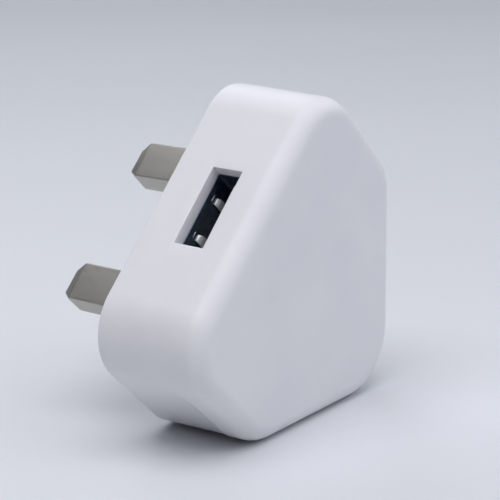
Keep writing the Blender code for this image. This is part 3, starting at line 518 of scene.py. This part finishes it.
def ramp(tree, value, stops):
    """A colour ramp over (position, colour) stops."""
    made = tree.nodes.new("ShaderNodeValToRGB")
    band = made.color_ramp
    while len(band.elements) < len(stops):
        band.elements.new(0.5)
    for element, (place, colour) in zip(band.elements, stops):
        element.position = place
        element.color = (*colour, 1.0)
    tree.links.new(value, made.inputs["Fac"])
    return made.outputs["Color"]


def span(tree, value, low, high):
    """A noise value mapped onto a range."""
    made = tree.nodes.new("ShaderNodeMapRange")
    made.inputs["From Min"].default_value = 0.3
    made.inputs["From Max"].default_value = 0.7
    made.inputs["To Min"].default_value = low
    made.inputs["To Max"].default_value = high
    tree.links.new(value, made.inputs["Value"])
    return made.outputs["Result"]


def bump(tree, shader, height, strength, distance):
    """Relief on a shader, distance in metres."""
    made = tree.nodes.new("ShaderNodeBump")
    made.inputs["Strength"].default_value = strength
    made.inputs["Distance"].default_value = distance
    tree.links.new(height, made.inputs["Height"])
    tree.links.new(made.outputs["Normal"], shader.inputs["Normal"])


def finish(name, dark, light, rough, metallic=0.0, colour_scale=300.0, rough_scale=2500.0,
           bump_scale=5000.0, bump_strength=0.1, bump_distance=2e-5, stretch=None, coat=0.0):
    """A surface with mottled colour, uneven gloss and fine relief."""
    made, tree, shader = node_material(name)
    shader.inputs["Metallic"].default_value = metallic
    shader.inputs["Coat Weight"].default_value = coat
    colour = ramp(tree, noise(tree, colour_scale, 4.0, stretch),
                  ((0.35, dark), (0.65, light)))
    tree.links.new(colour, shader.inputs["Base Color"])
    gloss = span(tree, noise(tree, rough_scale, 3.0, stretch), *rough)
    tree.links.new(gloss, shader.inputs["Roughness"])
    relief = noise(tree, bump_scale, 2.0, stretch)
    bump(tree, shader, relief, bump_strength, bump_distance)
    return made


def case_plastic():
    made = finish("white_case_plastic", (0.79, 0.79, 0.81), (0.82, 0.82, 0.835), (0.42, 0.50),
                  colour_scale=90.0, rough_scale=700.0, bump_scale=3500.0, bump_strength=0.06)
    shader = made.node_tree.nodes["Principled BSDF"]
    shader.inputs["IOR"].default_value = 1.5
    return made


def plate_plastic():
    return finish("white_plate_plastic", (0.76, 0.76, 0.78), (0.80, 0.80, 0.815), (0.45, 0.56),
                  colour_scale=120.0, rough_scale=1500.0, bump_scale=9000.0, bump_strength=0.25)


def pin_metal():
    """Satin nickel plate on brass."""
    along = ((0.0, 0.0, 0.0), (1.0, 0.25, 1.0))
    return finish("nickel_plated_brass", (0.480, 0.463, 0.420), (0.505, 0.488, 0.445),
                  (0.40, 0.47), metallic=1.0, colour_scale=500.0, rough_scale=2500.0,
                  bump_scale=6000.0, bump_strength=0.04, bump_distance=2e-6, stretch=along)


def shell_steel():
    """Nickel plate inside the socket, its colour darkened to navy as painted shade of the dark
    socket interior.
    """
    return finish("nickel_with_painted_navy_shade", (0.17, 0.23, 0.34), (0.26, 0.33, 0.46),
                  (0.30, 0.42), metallic=1.0, colour_scale=1200.0, rough_scale=6000.0,
                  bump_scale=15000.0, bump_strength=0.1, bump_distance=1e-5)


def latch_painted_highlight():
    """Nickel with its colour raised almost to white, a painted highlight of the light the springs
    catch inside the shaded socket.
    """
    return finish("nickel_with_painted_highlight", (0.86, 0.87, 0.90), (0.94, 0.95, 0.97), (0.4, 0.55),
                  metallic=0.5, colour_scale=2500.0, rough_scale=6000.0, bump_scale=15000.0,
                  bump_strength=0.15, bump_distance=1e-5)


def tongue_plastic():
    return finish("white_tongue_plastic", (0.68, 0.69, 0.70), (0.76, 0.77, 0.78), (0.42, 0.55),
                  colour_scale=1200.0, bump_scale=9000.0)


def contact_gold():
    return finish("gold_flashed_bronze", (0.72, 0.52, 0.22), (0.86, 0.66, 0.32), (0.2, 0.34),
                  metallic=1.0, colour_scale=1800.0, rough_scale=6000.0)


def spring_bronze():
    return finish("phosphor_bronze", (0.58, 0.36, 0.18), (0.74, 0.5, 0.28), (0.28, 0.42),
                  metallic=1.0, colour_scale=900.0)


def board_laminate():
    weave = ((0.0, 0.0, 0.8), (1.0, 0.35, 1.0))
    return finish("green_laminate", (0.015, 0.11, 0.04), (0.035, 0.19, 0.07), (0.3, 0.45),
                  colour_scale=1600.0, bump_scale=4000.0, bump_strength=0.3, stretch=weave)


def ferrite():
    return finish("sintered_ferrite", (0.035, 0.035, 0.04), (0.09, 0.09, 0.095), (0.45, 0.7),
                  colour_scale=2500.0, bump_scale=6000.0, bump_strength=0.4)


def bobbin_plastic():
    return finish("black_phenolic", (0.018, 0.018, 0.018), (0.04, 0.04, 0.04), (0.4, 0.55),
                  colour_scale=1500.0)


def copper_wire():
    turns = ((0.0, 0.8, 0.0), (0.15, 1.0, 1.0))
    return finish("enamelled_copper", (0.42, 0.13, 0.04), (0.78, 0.34, 0.14), (0.2, 0.36),
                  metallic=1.0, colour_scale=4500.0, bump_scale=7000.0, bump_strength=0.8,
                  bump_distance=6e-5, stretch=turns)


def yellow_tape():
    return finish("yellow_polyester_tape", (0.70, 0.48, 0.04), (0.88, 0.66, 0.10), (0.25, 0.4),
                  colour_scale=700.0, bump_scale=2500.0, bump_strength=0.3, coat=0.2)


def capacitor_sleeve():
    return finish("black_shrunk_sleeve", (0.014, 0.014, 0.02), (0.035, 0.035, 0.05), (0.25, 0.42),
                  colour_scale=600.0, bump_scale=2500.0, bump_strength=0.25)


def chip_epoxy():
    return finish("black_epoxy", (0.014, 0.014, 0.014), (0.035, 0.035, 0.035), (0.5, 0.65),
                  colour_scale=3000.0, bump_scale=12000.0, bump_strength=0.4)


def blue_coating():
    return finish("blue_dipped_epoxy", (0.02, 0.10, 0.38), (0.05, 0.2, 0.58), (0.2, 0.4),
                  colour_scale=900.0, bump_scale=1500.0, bump_strength=0.4)


def resistor_coating():
    return finish("flameproof_coating", (0.16, 0.34, 0.24), (0.28, 0.5, 0.36), (0.45, 0.6),
                  colour_scale=2200.0, bump_scale=5000.0, bump_strength=0.5)


def inductor_sleeve():
    return finish("matt_black_sleeve", (0.02, 0.02, 0.02), (0.05, 0.05, 0.05), (0.4, 0.55),
                  colour_scale=900.0, bump_scale=3000.0, bump_strength=0.3)


def chip_ceramic():
    return finish("fired_ceramic", (0.45, 0.38, 0.30), (0.62, 0.54, 0.44), (0.4, 0.55),
                  colour_scale=2500.0)


def painted(obj, made):
    obj.data.materials.clear()
    obj.data.materials.append(made)


def soften(obj, width):
    """Rounded edges on a CAD piece that stays in view."""
    step = obj.modifiers.new("softened edges", 'BEVEL')
    step.width = width
    step.segments = 2
    step.limit_method = 'ANGLE'
    step.angle_limit = pi / 5


# --- Stage ---------------------------------------------------------------------------------------

def make_floor():
    """A plain pale floor, level under the charger."""
    made, tree, shader = node_material("pale_floor")
    colour = ramp(tree, noise(tree, 6.0, 4.0), ((0.3, FLOOR_DARK), (0.7, FLOOR_LIGHT)))
    tree.links.new(colour, shader.inputs["Base Color"])
    shader.inputs["Roughness"].default_value = 0.6
    bm = bmesh.new()
    turns = [2 * pi * k / FLOOR_POINTS for k in range(FLOOR_POINTS)]
    rings = [verts(bm, [(radius * cos(turn), radius * sin(turn), 0.0) for turn in turns])
             for radius in FLOOR_RADII]
    loft(bm, rings)
    bm.faces.new(rings[0])
    bmesh.ops.recalc_face_normals(bm, faces=bm.faces)
    mesh = bpy.data.meshes.new("floor")
    bm.to_mesh(mesh)
    bm.free()
    floor = bpy.data.objects.new("floor", mesh)
    bpy.context.scene.collection.objects.link(floor)
    painted(floor, made)


def area_light(name, place, target, side, power, colour):
    data = bpy.data.lights.new(name, 'AREA')
    data.shape = 'SQUARE'
    data.size = side
    data.energy = power
    data.color = colour
    light = bpy.data.objects.new(name, data)
    light.location = place
    aim = Vector(target) - Vector(place)
    light.rotation_euler = aim.to_track_quat('-Z', 'Y').to_euler()
    bpy.context.scene.collection.objects.link(light)


def make_camera():
    """A long lens, a little above the charger, between its front and its USB side."""
    place = PLUG @ Vector(CAMERA_PLACE)
    turn = PLUG.to_3x3().normalized()
    right = turn @ Vector(CAMERA_RIGHT)
    forward = turn @ Vector(CAMERA_FORWARD)
    right = (right - forward * right.dot(forward) / forward.length_squared).normalized()
    back = -forward.normalized()
    up = back.cross(right)
    data = bpy.data.cameras.new("camera")
    data.sensor_width = SENSOR
    data.lens = LENS
    data.clip_start, data.clip_end = 0.01, 20.0
    camera = bpy.data.objects.new("camera", data)
    facing = Matrix((right, up, back)).transposed().to_4x4()
    camera.matrix_world = Matrix.Translation(place) @ facing
    bpy.context.scene.collection.objects.link(camera)
    bpy.context.scene.camera = camera


def make_world():
    """A dim studio with a paler backdrop low down all round."""
    world = bpy.data.worlds.new("studio")
    world.use_nodes = True
    tree = world.node_tree
    coords = tree.nodes.new("ShaderNodeTexCoord")
    split = tree.nodes.new("ShaderNodeSeparateXYZ")
    tree.links.new(coords.outputs["Generated"], split.inputs["Vector"])
    shade = ramp(tree, split.outputs["Z"],
                 ((0.03, (0.45, 0.47, 0.52)), (0.14, (0.03, 0.031, 0.035))))
    tree.links.new(shade, tree.nodes["Background"].inputs["Color"])
    bpy.context.scene.world = world


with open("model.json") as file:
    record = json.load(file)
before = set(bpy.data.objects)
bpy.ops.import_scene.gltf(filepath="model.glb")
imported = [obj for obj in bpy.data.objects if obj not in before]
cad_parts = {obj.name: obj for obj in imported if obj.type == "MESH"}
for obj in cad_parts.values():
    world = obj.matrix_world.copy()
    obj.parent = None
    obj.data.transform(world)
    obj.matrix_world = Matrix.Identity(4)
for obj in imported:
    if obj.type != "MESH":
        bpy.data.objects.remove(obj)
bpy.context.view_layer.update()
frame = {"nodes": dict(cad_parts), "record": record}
PLUG = millimetres_to_row()

make_camera()
case = make_case()
plate = make_pin_plate()
pins = [make_pin(*pin) for pin in PINS]
usb_shell = make_usb_shell()
latches = make_latches()

finishes = {
    "case_plastic": case_plastic(),
    "plate_plastic": plate_plastic(),
    "pin_metal": pin_metal(),
    "shell_steel": shell_steel(),
    "tongue_plastic": tongue_plastic(),
    "contact_gold": contact_gold(),
    "spring_bronze": spring_bronze(),
    "board_laminate": board_laminate(),
    "ferrite": ferrite(),
    "bobbin_plastic": bobbin_plastic(),
    "copper_wire": copper_wire(),
    "yellow_tape": yellow_tape(),
    "capacitor_sleeve": capacitor_sleeve(),
    "chip_epoxy": chip_epoxy(),
    "blue_coating": blue_coating(),
    "resistor_coating": resistor_coating(),
    "inductor_sleeve": inductor_sleeve(),
    "chip_ceramic": chip_ceramic(),
}
for row in frame["record"]["subparts"]:
    painted(frame["nodes"][row["node"]], finishes[row["material_slot"]])
for piece in [case, plate, usb_shell] + pins:
    painted(piece, finishes[piece["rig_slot"]])
# The latch springs get nickel with a painted highlight, much lighter than the sleeve's nickel with
# painted shade.
painted(latches, latch_painted_highlight())
soften(frame["nodes"]["usb_insulator"], 0.00012)

make_floor()
make_world()
for light in LIGHTS:
    area_light(*light)

bpy.context.scene.view_settings.view_transform = 'Standard'
